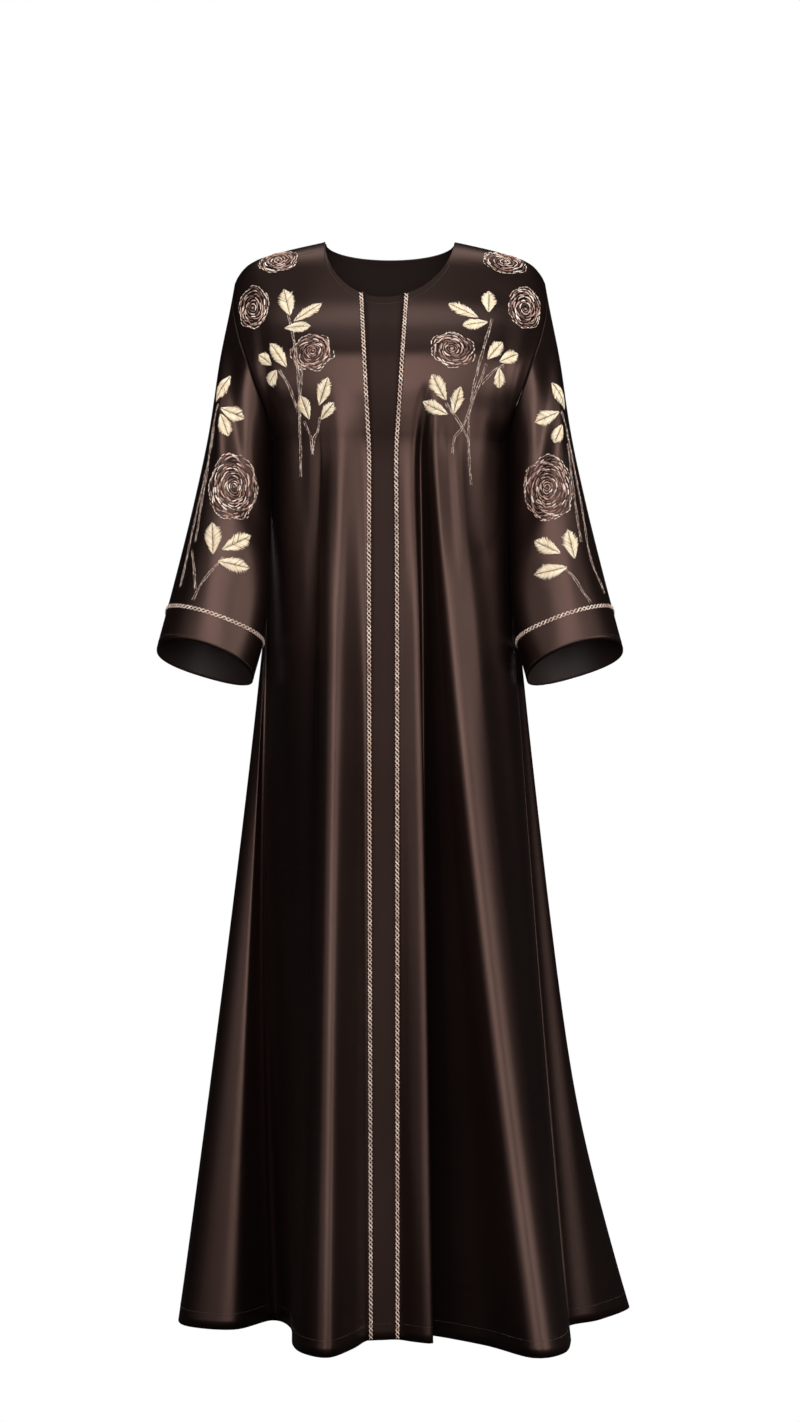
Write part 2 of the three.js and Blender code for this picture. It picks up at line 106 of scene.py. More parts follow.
# the skirt's folds once round, from the placket by way of the viewer's right: angle on the chest (270 is
# the front), share of the top edge, drop where the fold starts, its place at the hem, how late it gets
# there sideways and in depth, and how far it bellies out half way down
folds = table(
    "angle share start x y spread depth belly",
    (266.9, 0, 200, -7, -77, 1, 0.8, 0),
    (273.5, 0.09, 200, 10, -74, 1, 0.8, 0),
    (277.8, 0.14, 195, 31, -90, 1, 0.7, 0),
    (281.6, 0.19, 190, 54, -98, 1, 0.6, 2),
    (285.3, 0.25, 185, 46, -44, 1, 0.6, 0),
    (288.4, 0.32, 180, 118, -112, 1.2, 0.8, 0),
    (292.0, 0.41, 180, 174, -192, 1.3, 1, 0),
    (302.0, 0.58, 190, 213, -162, 1.3, 1.05, 0),
    (320.0, 0.78, 225, 226, -78, 1.35, 1.2, 0),
    (360.0, 1, 262, 227, 14, 1.2, 1.3, 0),
    (372.0, 1.06, 262, 271, 62, 1.15, 1.3, 0),
    (384.0, 1.12, 262, 315, 158, 1.9, 1.3, 0),
    (396.0, 1.2, 262, 262, 212, 1.25, 1.2, 0),
    (406.5, 1.3, 240, 206, 196, 1.3, 1, 0),
    (417.5, 1.45, 200, 160, 262, 1.2, 0.9, 0),
    (429.0, 1.65, 170, 92, 214, 1.1, 0.8, 0),
    (441.5, 1.9, 160, 38, 276, 1, 0.8, 0),
    (457.0, 2.12, 160, -28, 220, 1, 0.8, 0),
    (471.0, 2.36, 170, -94, 266, 1.1, 0.8, 0),
    (482.5, 2.56, 200, -142, 200, 1.2, 0.9, 0),
    (493.0, 2.7, 240, -206, 218, 1.3, 1.1, 0),
    (503.5, 2.8, 262, -226, 152, 1.35, 1.2, 0),
    (512.5, 2.87, 262, -270, 96, 1.35, 1.2, -6),
    (520.5, 2.92, 262, -262, 20, 1.35, 1.2, -8),
    (528.5, 2.96, 262, -198, -8, 1.3, 1.3, -10),
    (540.0, 3, 262, -152, 56, 0.9, 0.9, -13),
    (562.0, 3.14, 240, -127, 6, 0.9, 1.1, -6),
    (592.5, 3.36, 200, -120, -110, 1.1, 1, 3),
    (598.9, 3.5, 190, -104, -166, 1.1, 0.9, 2),
    (604.9, 3.62, 185, -74, -190, 1, 0.8, 0),
    (611.7, 3.76, 190, -46, -136, 1, 0.7, 0),
    (617.3, 3.86, 195, -31, -87, 1, 0.8, 0),
    (619.8, 3.9, 200, -24, -80, 1, 0.8, 0),
)
foldCount = len(folds["x"])
placketRight, placketLeft = 1, 32  # rows of the fold table
seamRight, seamLeft = 9, 25

# the sleeve on the viewer's right: four points of each ring
sleeveRings = table(
    "share outerX outerY outerZ innerX innerY innerZ frontX frontY frontZ backX backY backZ",
    (0, 197, 0, -53, 147, 0, -256, 181, -62, -154, 181, 56, -154),
    (0.2, 212, -3, -142, 150.5, -10, -311, 199, -74, -226, 204, 54, -236),
    (0.4, 226, -8, -238, 151.5, -26, -369, 207, -84, -300, 214, 50, -320),
    (0.6, 246, -14, -332, 151.5, -38, -433, 214, -93, -373, 222, 45, -400),
    (0.8, 269, -22, -427, 157, -43, -497, 223, -101, -443, 230, 39, -478),
    (1, 294, -30, -521, 172, -44, -557, 232, -108, -512, 237, 33, -553),
)
# folds of the sleeve: degrees round it at both ends (90 is the front), shares of its length, size
sleeveFolds = table(
    "start finish top end width height",
    (48, 128, 0.06, 0.62, 26, 5),
    (78, 158, 0.04, 0.55, 26, -6),
    (112, 172, 0.05, 0.5, 22, 4),
    (300, 230, 0.25, 0.75, 30, -5),
    (330, 262, 0.15, 0.8, 28, 4),
    (58, 84, 0.02, 0.46, 12, 1.5),
    (80, 112, 0.01, 0.42, 12, -1.9),
    (104, 140, 0.02, 0.48, 12, 2),
    (130, 164, 0.05, 0.5, 13, -2.4),
    (60, 40, 0.55, 0.97, 14, -1.8),
    (96, 84, 0.6, 0.98, 12, 1.6),
    (140, 120, 0.58, 0.99, 13, -2.2),
    (178, 182, 0.0, 0.56, 30, 3.2),
    (178, 182, 0.0, 0.3, 30, 1),
    (250, 210, 0.05, 0.5, 12, 2.4),
    (285, 236, 0.1, 0.6, 11, -2.2),
)

# soft creases of the front and the back, from one end to the other as they are seen from the front
creases = {
    "front": table(
        "x z endX endZ bow width height",
        (-184, -60, -160, -262, -3, 8, 2.6),
        (-170, -70, -142, -330, -3, 9, -3.4),
        (-152, -110, -120, -420, -4, 10, 2.0),
        (-118, -160, -96, -520, -3, 9, -2.4),
        (-72, -205, -64, -520, 2, 8, -2.2),
        (184, -60, 162, -262, 3, 8, 2.6),
        (170, -80, 148, -330, 4, 10, 3.6),
        (152, -80, 128, -400, 4, 10, -4.0),
        (112, -150, 92, -420, 3, 9, -2.4),
        (-80, -196, -85, -470, 2, 9, -3.6),
        (-44, -205, -42, -640, 0, 13, -2.4),
        (-99, -240, -104, -520, 2, 10, 2.4),
        (18, -196, 19, -480, 0, 8, 1.8),
        (36, -192, 40, -500, 0, 8, -3.6),
        (54, -186, 60, -470, -1, 9, 2.8),
        (67, -200, 80, -440, -1, 7, -2.4),
        (82, -225, 97, -500, -1, 8, 3.0),
        (90, -320, 118, -640, -4, 10, 2.6),
        (118, -420, 150, -820, -5, 13, -2.2),
        (140, -520, 178, -1020, -6, 13, 2.4),
        (172, -760, 205, -1260, -4, 9, 2.6),
        (190, -800, 226, -1300, -4, 9, -2.6),
        (20, -1020, 44, -1385, 0, 16, 2.2),
        (-178, -700, -214, -1250, 4, 12, -2.0),
        (-140, -900, -160, -1360, 3, 10, 2.2),
    ),
    "back": table(
        "x z endX endZ bow width height",
        (-140, -70, -120, -420, 6, 14, 3.5),
        (-100, -120, -84, -520, 4, 12, -3.0),
        (-30, -90, -12, -420, -4, 16, 2.5),
        (60, -110, 70, -500, 5, 13, -3.0),
        (128, -70, 112, -400, -6, 14, 3.5),
    ),
}


# ---- the cloth's surfaces ------------------------------------------------------------------------------
def mix(a, b, share):
    return a + (b - a) * share


def smooth(x):
    x = np.clip(x, 0, 1)
    return x * x * (3 - 2 * x)


def unit(vectors):
    return vectors / np.maximum(np.linalg.norm(vectors, axis=-1, keepdims=True), 1e-12)


def column(x, y):
    # cubic through (x, y) whose tangents are the slopes' harmonic means, so that it never overshoots
    slope = np.diff(y) / np.diff(x)
    product, total = slope[:-1] * slope[1:], slope[:-1] + slope[1:]
    inner = np.where(product > 0, 2 * product / np.where(total == 0, 1, total), 0)
    tangent = np.concatenate([slope[:1], inner, slope[-1:]])

    def at(where):
        t = np.clip(where, x[0], x[-1])
        i = np.clip(np.searchsorted(x, t, side="right") - 1, 0, len(x) - 2)
        h = x[i + 1] - x[i]
        s = (t - x[i]) / h
        ends = y[i] * (1 + 2 * s) * (1 - s) ** 2 + y[i + 1] * s * s * (3 - 2 * s)
        return ends + h * s * (1 - s) * (tangent[i] * (1 - s) - tangent[i + 1] * s)

    return at


def roundColumn(name, turn=0):
    # closed Catmull-Rom curve through a column of the fold table, which adds `turn` each time round
    values = folds[name]

    def row(i):
        return values[i % foldCount] + (i // foldCount) * turn

    def at(q):
        i = np.floor(q).astype(int)
        s = q - i
        a, b, c, d = row(i - 1), row(i), row(i + 1), row(i + 2)
        return b + 0.5 * s * (c - a + s * (2 * a - 5 * b + 4 * c - d + s * (3 * (b - c) + d - a)))

    return at


halfAt, frontAt, backAt, roundAt = [
    column(torso["drop"], torso[name]) for name in ("half", "front", "back", "round")
]
armholeAt = column(armhole["drop"], armhole["half"])
foldAt = {name: roundColumn(name, {"angle": 360, "share": 4}.get(name, 0)) for name in folds}
ringAt = {name: column(sleeveRings["share"], sleeveRings[name]) for name in sleeveRings}
ridgeDrops = np.linspace(0, shoulderTip["drop"], 300)


def ridgeDrop(half):
    # the shoulder seam's drop at a half width
    return np.interp(half, halfAt(ridgeDrops), ridgeDrops)


def topPlace(q, isBack):
    # how far a column meets the top edge from the middle (0) to the armhole (1), and on which side
    share = foldAt["share"](q)
    turned = np.where(share > 2, share - 4, share)
    reach = np.clip(2 - np.abs(turned) if isBack else np.abs(turned), 0, 1)
    return reach, np.where(turned < 0, -1.0, 1.0)


def topEdge(reach, side, isBack):
    # a quarter ellipse for the neckline, then the straight shoulder seam
    turn = math.pi / 2 * np.minimum(reach / neck["share"], 1)
    shift = 0 if isBack else garment["placketShift"] * np.maximum(0, 1 - reach / neck["share"])
    neckX = side * neck["half"] * np.sin(turn) + shift
    neckDrop = (neck["back"] if isBack else neck["front"]) * np.maximum(np.cos(turn), 0) ** 1.1
    half = mix(neck["half"], shoulderTip["half"], (reach - neck["share"]) / (1 - neck["share"]))
    isNeck = reach < neck["share"]
    return np.where(isNeck, neckX, side * half), np.where(isNeck, neckDrop, ridgeDrop(half))


def chestPlace(q):
    # the superellipse section at the underarm
    angle = np.radians(foldAt["angle"](q))
    c, s = np.cos(angle), np.sin(angle)
    power = torso["round"][-1]
    size = (np.abs(c) ** power + np.abs(s) ** power) ** (-1 / power)
    depth = np.where(s > 0, torso["back"][-1], torso["front"][-1])
    return garment["chestHalf"] * size * c, depth * size * s


def upperBody(q, w, isBack):
    # from the top edge to the chest: x between the two, bent along the armhole, on superellipse sections
    chestX, _ = chestPlace(q)
    reach, side = topPlace(q, isBack)
    topX, topDrop = topEdge(reach, side, isBack)
    armDrop = mix(shoulderTip["drop"], garment["underarm"], w)
    bend = armholeAt(armDrop) - mix(shoulderTip["half"], garment["chestHalf"], w)
    drop = mix(topDrop, garment["underarm"], w)
    x = mix(topX, chestX, w) + side * bend * np.clip((reach - 0.35) / 0.65, 0, 1) ** 2
    across = np.minimum(1, np.abs(x) / halfAt(drop))
    power = roundAt(drop)
    rounding = (1 - across**power) ** (1 / power)
    return x, rounding * (backAt(drop) if isBack else -frontAt(drop)), drop


def chestSlope(isBack):
    # how x and y change with the drop where the upper part ends, faded out towards the side seams
    q = np.linspace(seamLeft - foldCount - 0.5, foldCount, 4000)
    x, y, drop = upperBody(q, np.full_like(q, 1 - 1e-3), isBack)
    chestX, chestY = chestPlace(q)
    reach, _ = topPlace(q, isBack)
    share = (1 - smooth((reach - 0.75) / 0.25)) / (garment["underarm"] - drop)
    return q, (chestX - x) * share, (chestY - y) * share


chestSlopes = {isBack: chestSlope(isBack) for isBack in (False, True)}


def body(q, w, isBack):
    # w 0 to 1 is the upper part. w 1 to 2 goes down to the hem from the chest section, which first keeps the
    # slope above it, slope times d exp(-d / carry) at d below. Each fold then grows from its start to its
    # place at the hem as a power of (1 + ease) f^2 / (f + ease), f being the share of its way down
    share = np.clip(w, 0, 1)
    chestX, chestY = chestPlace(q)
    upperX, upperY, upperDrop = upperBody(q, share, isBack)
    below = np.maximum(w - 1, 0) * (garment["length"] - garment["underarm"])
    carry = below * np.exp(-below / garment["chestCarry"])
    places, slopeX, slopeY = chestSlopes[isBack]
    isUpper = w < 1
    drop = upperDrop + below
    x = np.where(isUpper, upperX, chestX + np.interp(q, places, slopeX) * carry)
    y = np.where(isUpper, upperY, chestY + np.interp(q, places, slopeY) * carry)
    start = foldAt["start"](q)
    fall = np.clip((drop - start) / (garment["length"] - start), 0, 1)
    grown = (1 + garment["foldEase"]) * fall**2 / (fall + garment["foldEase"])
    belly = foldAt["belly"](q) * np.sin(math.pi * fall)
    x = x + (foldAt["x"](q) - chestX) * grown ** foldAt["spread"](q) + belly
    y = y + (foldAt["y"](q) - chestY) * grown ** foldAt["depth"](q)
    return np.stack([x, y, -drop], -1)


def creaseHeight(points, rows):
    # sum of ridges: height times the sine of the place along, times a bell of the distance across
    x, z = points[..., 0], points[..., 2]
    total = np.zeros_like(x)
    for x0, z0, x1, z1, bow, width, height in zip(*rows.values()):
        length = math.hypot(x1 - x0, z1 - z0)
        along = ((x - x0) * (x1 - x0) + (z - z0) * (z1 - z0)) / length**2
        arch = np.sin(math.pi * np.clip(along, 0, 1))
        across = ((x - x0) * (z1 - z0) - (z - z0) * (x1 - x0)) / length - bow * arch
        total += height * arch**1.5 * np.exp(-((across / width) ** 2))
    return total


def directions(place, a, b, limits):
    # unit vectors at (a, b): along the cloth to greater a, down it, and out of it; `limits` are the greatest
    # and least b, and the least and greatest a above the underarm
    step = 1e-3
    low = np.where(b < 1, np.maximum(a - step, limits["aLow"]), a - step)
    high = np.where(b < 1, np.minimum(a + step, limits["aHigh"]), a + step)
    overA = (place(high, b) - place(low, b)) / (high - low)[..., None]
    above, below = np.maximum(b - step, limits["bLow"]), np.minimum(b + step, limits["bHigh"])
    overB = (place(a, below) - place(a, above)) / (below - above)[..., None]
    down = unit(overB)
    out = unit(np.cross(down, overA))
    return {"along": np.cross(out, down), "down": down, "out": out, "overA": overA, "overB": overB}


bodyLimits = {
    "front": {"aLow": seamLeft - foldCount, "aHigh": seamRight, "bLow": 0, "bHigh": 2},
    "back": {"aLow": seamRight, "aHigh": seamLeft, "bLow": 0, "bHigh": 2},
}
sleeveLimits = {"aLow": -1e9, "aHigh": 1e9, "bLow": 0, "bHigh": 1}


def bodyPlace(side):
    # the body's surface as a function of (q, w), its creases raised towards the viewer of that side
    toViewer = np.array([0, 1 if side == "back" else -1, 0])

    def place(q, w):
        # the bag below the underarm is sin(pi f^rise), f being the share of its length, and is there towards
        # the sides only; the creases die out at the side seams
        points = body(q, w, side == "back")
        x = points[..., 0]
        below = np.clip((-points[..., 2] - garment["underarm"]) / garment["bagLength"], 0, 1)
        bulge = np.sin(math.pi * below ** garment["bagRise"])
        bag = garment["sideBag"] * bulge * smooth((np.abs(x) - garment["bagFrom"]) / garment["bagFade"])
        points = points + np.stack([np.sign(x) * bag, 0 * x, 0 * x], -1)
        reach, _ = topPlace(q, side == "back")
        fade = 1 - smooth((reach - garment["creaseEnd"]) / (1 - garment["creaseEnd"]))
        height = creaseHeight(points, creases[side]) * fade
        return points + toViewer * height[..., None]

    return place


def ring(t, turn):
    # a ring through four points, bowed where the front and back points aren't level with its middle, and
    # flatter than an ellipse in front
    outer, inner, front, back = [
        np.stack([ringAt[corner + axis](t) for axis in "XYZ"], -1)
        for corner in ("outer", "inner", "front", "back")
    ]
    middle = (outer + inner) / 2
    bow = (front + back) / 2 - middle
    c, s = np.cos(turn)[..., None], np.sin(turn)[..., None]
    s = np.where(s > 0, np.abs(s) ** garment["frontFlatness"], s)
    return middle + (outer - inner) * c / 2 + (front - back) * s / 2 + bow * s * s


def armholePlace(turn):
    # the sleeve's first edge, on the panels' armhole edge
    down = 0.5 - 0.5 * np.cos(turn)
    seam = np.full_like(turn, seamRight)
    isBack = (np.sin(turn) < 0)[..., None]
    front, back = body(seam, down, False), body(seam, down, True)
    lifted = np.maximum(down, 1e-3)
    outs = [directions(lambda q, w: body(q, w, name == "back"), seam, lifted, bodyLimits[name])["out"]
            for name in ("front", "back")]
    out = np.where(isBack, outs[1], outs[0])
    return np.where(isBack, back, front) + out * (garment["sleeveLift"] * down**3)[..., None]


def sleeveStart():
    # how far the armhole's edge lies from the plain first ring, once round
    turn = np.linspace(-math.pi, math.pi, 721)
    return turn, (armholePlace(turn) - ring(np.zeros_like(turn), turn)).T


sleeveStarts = sleeveStart()


def sleeveSurface(turn, t):
    # rings that leave the armhole's edge smoothly, with folds as ridges along slanting lines
    turn = (turn + math.pi) % (2 * math.pi) - math.pi
    turns, shifts = sleeveStarts
    join = 1 - smooth(t / 0.4)
    shift = np.stack([np.interp(turn, turns, axis) for axis in shifts], -1)
    points = ring(t, turn) + shift * join[..., None]
    middle = (ring(t, np.zeros_like(turn)) + ring(t, np.full_like(turn, math.pi))) / 2
    outward = unit(points - middle)
    height = np.zeros_like(t)
    for start, finish, top, end, width, rise in zip(*sleeveFolds.values()):
        along = (t - top) / (end - top)
        strength = np.sin(math.pi * np.clip(along, 0, 1)) ** 1.5
        centre = np.radians(mix(start, finish, np.clip(along, 0, 1)))
        away = np.arctan2(np.sin(turn - centre), np.cos(turn - centre)) / math.radians(width)
        height += rise * strength * np.exp(-away * away)
    return points + outward * height[..., None]


def sleevePlace(side):
    # side 1 is the viewer's right, and -1 its mirror image; the front of both runs to the right as a grows
    def place(a, t):
        return sleeveSurface(-side * a, t) * np.array([side, 1, 1])

    return place


cloths = {
    "front": {"place": bodyPlace("front"), "limits": bodyLimits["front"]},
    "back": {"place": bodyPlace("back"), "limits": bodyLimits["back"]},
    "sleeveLeft": {"place": sleevePlace(-1), "limits": sleeveLimits},
    "sleeveRight": {"place": sleevePlace(1), "limits": sleeveLimits},
}


def frameAt(cloth, a, b):
    # the point of a cloth at (a, b), with its unit vectors
    place = cloths[cloth]["place"]
    return {"point": place(a, b), **directions(place, a, b, cloths[cloth]["limits"])}


print("surfaces ready")


# ---- shader wiring ---------------------------------------------------------------------------------------
class Wire:
    # a socket of a node tree; sums and products of wires and numbers add Math nodes
    def __init__(self, tree, output=None):
        self.tree = tree
        self.output = output

    def node(self, kind, settings=None, inputs=None, output=0):
        made = self.tree.nodes.new("ShaderNode" + kind)
        for name, value in (settings or {}).items():
            if name == "stops":
                ramp = made.color_ramp
                while len(ramp.elements) < len(value):
                    ramp.elements.new(0.5)
                for element, (position, colour) in zip(ramp.elements, value):
                    element.position, element.color = position, (*colour, 1)
            else:
                setattr(made, name, value)
        for name, value in (inputs or {}).items():
            if isinstance(value, Wire):
                self.tree.links.new(value.output, made.inputs[name])
            else:
                made.inputs[name].default_value = value
        return Wire(self.tree, made.outputs[output])

    def math(self, operation, *values):
        return self.node("Math", {"operation": operation}, dict(enumerate(values)))

    def __add__(self, other):
        return self.math("ADD", self, other)

    def __sub__(self, other):
        return self.math("SUBTRACT", self, other)

    def __rsub__(self, other):
        return self.math("SUBTRACT", other, self)

    def __mul__(self, other):
        return self.math("MULTIPLY", self, other)

    __radd__, __rmul__ = __add__, __mul__


def newMaterial(name):
    # a material with a Principled shader, and the wire that its nodes grow from
    material = bpy.data.materials.new(name)
    material.use_nodes = True
    return material, material.node_tree.nodes["Principled BSDF"], Wire(material.node_tree)


def setShader(shader, tree, settings):
    # numbers go on the sockets, and wires are linked
    for name, value in settings.items():
        if isinstance(value, Wire):
            tree.links.new(value.output, shader.inputs[name])
        else:
            shader.inputs[name].default_value = value


satin = {
    "deep": (0.045, 0.026, 0.022),
    "light": (0.066, 0.041, 0.035),
    "reverse": (0.022, 0.014, 0.012),
    "placketPaintedShade": 0.6,  # painted shade: the placket's colours are darkened to this share, standing in for the shade it shows from the front
    "placketMatt": 0.26,  # the placket's cut runs across the cloth, so it is more matt: added to its roughness
    "reverseMatt": 0.15,
    "metallic": 0.97,
    "roughness": 0.4,
    "anisotropy": 0.25,  # highlights spread round the garment, across the warp
    "threadPitch": 0.00055,  # metres between the weave's ridges
    "driftScale": 3.5,  # patches of tone to a metre
    "slubScale": (18, 900, 1),  # slubs to a metre along and across the thread
}


def satinMaterial(name, paintedShade=1.0, matt=0.0, isReverse=False):
    # warp-faced satin: fine ridges down the cloth, faint slubs across it, and a slow drift of tone
    material, shader, wire = newMaterial(name)
    place = wire.node("TexCoord", output="Object")
    weave = wire.node("UVMap", {"uv_map": "weave"})
    drift = wire.node("TexNoise", None, {"Vector": place, "Scale": satin["driftScale"], "Detail": 2.0}, "Fac")
    slubPlace = wire.node("Mapping", None, {"Vector": weave, "Scale": satin["slubScale"]})
    slub = wire.node("TexNoise", None, {"Vector": slubPlace, "Scale": 1.0, "Detail": 3.0}, "Fac")
    across = wire.node("SeparateXYZ", None, {"Vector": weave}, "X")
    ridge = wire.math("SINE", across * (2 * math.pi / satin["threadPitch"]))
    tone = wire.node("MapRange", None, {"Value": drift + slub * 0.35, "From Min": 0.35, "From Max": 0.95})
    # paintedShade darkens both colours of the cloth: a painted shade, used for the placket
    deep, light = [
        [value * paintedShade for value in satin["reverse" if isReverse else kind]] for kind in ("deep", "light")
    ]
    colour = wire.node("Mix", {"data_type": "RGBA"}, {0: tone, 6: (*deep, 1), 7: (*light, 1)}, 2)
    height = ridge * 0.25 + slub * 0.6
    bump = wire.node("Bump", None, {"Height": height, "Strength": 0.06, "Distance": 0.0006}, "Normal")
    roughness = satin["roughness"] - 0.05 + matt + (satin["reverseMatt"] if isReverse else 0)
    setShader(shader, material.node_tree, {
        "Base Color": colour,
        "Roughness": slub * 0.1 + roughness,
        "Metallic": 0.1 if isReverse else satin["metallic"],
        "Normal": bump,
        "Specular IOR Level": 0.25,
        "Anisotropic": satin["anisotropy"],
    })
    return material


threads = {
    "rose": {
        "stops": [(0.0, (0.035, 0.016, 0.013)), (0.35, (0.23, 0.115, 0.09)),
                  (0.65, (0.66, 0.42, 0.34)), (1.0, (1.0, 0.90, 0.79))],
        "roughness": 0.5,
    },
    "leaf": {
        "stops": [(0.0, (0.40, 0.26, 0.14)), (0.35, (0.84, 0.65, 0.43)),
                  (0.8, (0.98, 0.86, 0.65)), (1.0, (1.0, 0.95, 0.82))],
        "roughness": 0.45,
    },
    "cord": {
        "stops": [(0.0, (0.12, 0.065, 0.052)), (0.35, (0.44, 0.30, 0.24)),
                  (0.7, (0.84, 0.66, 0.56)), (1.0, (1.0, 0.92, 0.82))],
        "roughness": 0.5,
    },
    "sewing": {
        "stops": [(0.0, (0.020, 0.012, 0.010)), (1.0, (0.05, 0.032, 0.027))],
        "roughness": 0.5,
    },
}
plyLength = 0.0011  # metres that one twist of a thread takes


def threadMaterial(name):
    # twisted thread: slanting plies along each stitch, each ply painted lighter on its ridge and darker in
    # its groove (painted highlight and shade), and each stitch's own tone
    material, shader, wire = newMaterial(name + "_thread")
    tone = wire.node("Attribute", {"attribute_name": "tone"}, None, "Fac")
    lay = wire.node("UVMap", {"uv_map": "lay"})
    across = wire.node("SeparateXYZ", None, {"Vector": lay}, "X")
    down = wire.node("SeparateXYZ", None, {"Vector": lay}, "Y")
    slant = down * (2 * math.pi / plyLength) + across * (2 * math.pi)
    ply = wire.math("SINE", slant) * 0.5 + 0.5
    # the tone is raised on the plies' ridges and lowered in their grooves, in step with the bump: painted
    # highlight and shade
    shown = tone + ply * 0.12 - 0.06
    colour = wire.node("ValToRGB", {"stops": threads[name]["stops"]}, {"Fac": shown}, "Color")
    bump = wire.node("Bump", None, {"Height": ply, "Strength": 0.5, "Distance": 0.0002}, "Normal")
    setShader(shader, material.node_tree, {
        "Base Color": colour,
        "Roughness": ply * 0.1 + threads[name]["roughness"],
        "Normal": bump,
        "Sheen Weight": 0.2,
        "Sheen Roughness": 0.4,
    })
    return material


faceMaterial, reverseMaterial = satinMaterial("satin_face"), satinMaterial("satin_reverse", isReverse=True)
# the placket's satin: its colours darkened by a painted shade, and its roughness raised
placketMaterial = satinMaterial("satin_placket", satin["placketPaintedShade"], satin["placketMatt"])
threadMaterials = {name: threadMaterial(name) for name in threads}
print("materials ready")


# ---- meshes ----------------------------------------------------------------------------------------------
def addPiece(name, points, quads, materials, extras=()):
    # points in millimetres and faces as index rows, made into a piece that rides on the garment
    mesh = bpy.data.meshes.new(name)
    faces = [face.tolist() for group in (quads, *extras) for face in group]
    mesh.from_pydata((points * mm).tolist(), [], faces)
    mesh.polygons.foreach_set("use_smooth", np.ones(len(mesh.polygons), bool))
    for material in materials:
        mesh.materials.append(material)
    piece = bpy.data.objects.new(name, mesh)
    bpy.context.scene.collection.objects.link(piece)
    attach(piece, "root")
    return piece


def setUv(piece, name, uv):
    layer = piece.data.uv_layers.new(name=name)
    corners = np.zeros(len(piece.data.loops), int)
    piece.data.loops.foreach_get("vertex_index", corners)
    layer.data.foreach_set("uv", uv[corners].astype(np.float32).ravel())


def gridQuads(rows, cols, isRing, first=0):
    # faces of a grid of points, counterclockwise as seen with greater columns to the right
    r = np.arange(rows - 1)[:, None]
    c = np.arange(cols if isRing else cols - 1)[None, :]
    a, b = first + r * cols + c, first + r * cols + (c + 1) % cols
    return np.stack([a, a + cols, b + cols, b], -1).reshape(-1, 4)


def arcLength(points, axis):
    steps = np.linalg.norm(np.diff(points, axis=axis), axis=-1)
    pad = [(0, 0), (0, 0)]
    pad[axis] = (1, 0)
    return np.cumsum(np.pad(steps, pad), axis=axis)


def addCloth(name, cloth, a, b, isRing=False, lower=None):
    # a closed wall between a cloth's surface and the same surface moved inwards
    rows, cols = len(b), len(a)
    gridA, gridB = np.meshgrid(a, b)
    if lower is not None:
        gridB = lower(gridA, gridB)
    at = frameAt(cloth, gridA, gridB)
    outer, out = at["point"], at["out"].copy()
    if not isRing:
        reach, _ = topPlace(a, cloth == "back")
        isShoulder = reach > neck["share"]  # there the wall's edge runs level from front to back
        out[0, isShoulder, 1] = 0
        out[0] = unit(out[0])
    inner = outer - out * garment["thickness"]
    half = rows * cols
    front = gridQuads(rows, cols, isRing)
    reverse = gridQuads(rows, cols, isRing, half)[:, ::-1]
    c = np.arange(cols if isRing else cols - 1)
    after = (c + 1) % cols
    last = (rows - 1) * cols
    rims = [
        np.stack([half + c, c, after, half + after], -1),
        np.stack([last + c, half + last + c, half + last + after, last + after], -1),
    ]
    if not isRing:
        r = np.arange(rows - 1) * cols
        rims.append(np.stack([half + r, half + r + cols, r + cols, r], -1))
        r = r + cols - 1
        rims.append(np.stack([r, r + cols, half + r + cols, half + r], -1))
    rims = np.concatenate(rims)
    points = np.concatenate([outer.reshape(-1, 3), inner.reshape(-1, 3)])
    quads = np.concatenate([front, reverse, rims])
    face = placketMaterial if name == "placket" else faceMaterial
    piece = addPiece(name, points, quads, [face, reverseMaterial])
    kinds = np.repeat([0, 1, 0], [len(front), len(reverse), len(rims)])
    piece.data.polygons.foreach_set("material_index", kinds.astype(np.int32))
    isSmooth = np.repeat([True, True, False], [len(front), len(reverse), len(rims)])
    piece.data.polygons.foreach_set("use_smooth", isSmooth)
    widths, lengths = arcLength(outer, 1), arcLength(outer, 0)
    uv = np.stack([widths - widths[:, cols // 2, None], lengths], -1).reshape(-1, 2) * mm
    setUv(piece, "weave", np.concatenate([uv, uv]))
    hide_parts(name)
    cells = np.cross(outer[1:, 1:] - outer[:-1, :-1], outer[1:, :-1] - outer[:-1, 1:])
    print(name, "hem", round(widths[-1, -1]), "length", round(lengths[-1].max()),
          "area", round(np.linalg.norm(cells, axis=-1).sum() / 2e6, 3))
    return piece


grids = {
    "upperRows": 44,
    "lowerRows": 110,
    "spacing": 9,  # of the columns, along the hem
    "sleeveRows": 84,
    "sleeveSides": 96,
}
upper = 0.5 - 0.5 * np.cos(np.linspace(0, math.pi, grids["upperRows"] + 1))
bodyRows = np.concatenate([upper, 1 + (np.arange(1, grids["lowerRows"] + 1) / grids["lowerRows"]) ** 1.15])


def columnsBetween(start, end):
    # columns between two rows of the fold table, about evenly spaced along the hem
    columns = []
    for row in range(start, end):
        here, there = np.array(row), np.array(row + 1)
        width = math.hypot(foldAt["x"](there) - foldAt["x"](here), foldAt["y"](there) - foldAt["y"](here))
        count = max(2, round(width / grids["spacing"]))
        columns.append(row + np.arange(count) / count)
    return np.concatenate([*columns, [end]])


cuff = {"outer": 0.9, "inner": 0.845}  # the cuff trim's place, as shares of the sleeve's length


def sleeveShare(a, t):
    # rows run level with the cuff's trim, which rises towards the inner side
    outer = cuff["outer"]
    rise = mix(outer, cuff["inner"], (0.5 - 0.5 * np.cos(a)) ** 2) / outer
    beyond = mix(outer * rise, 1, (t - outer) / (1 - outer))
    return np.where(t < outer, t * rise, beyond)


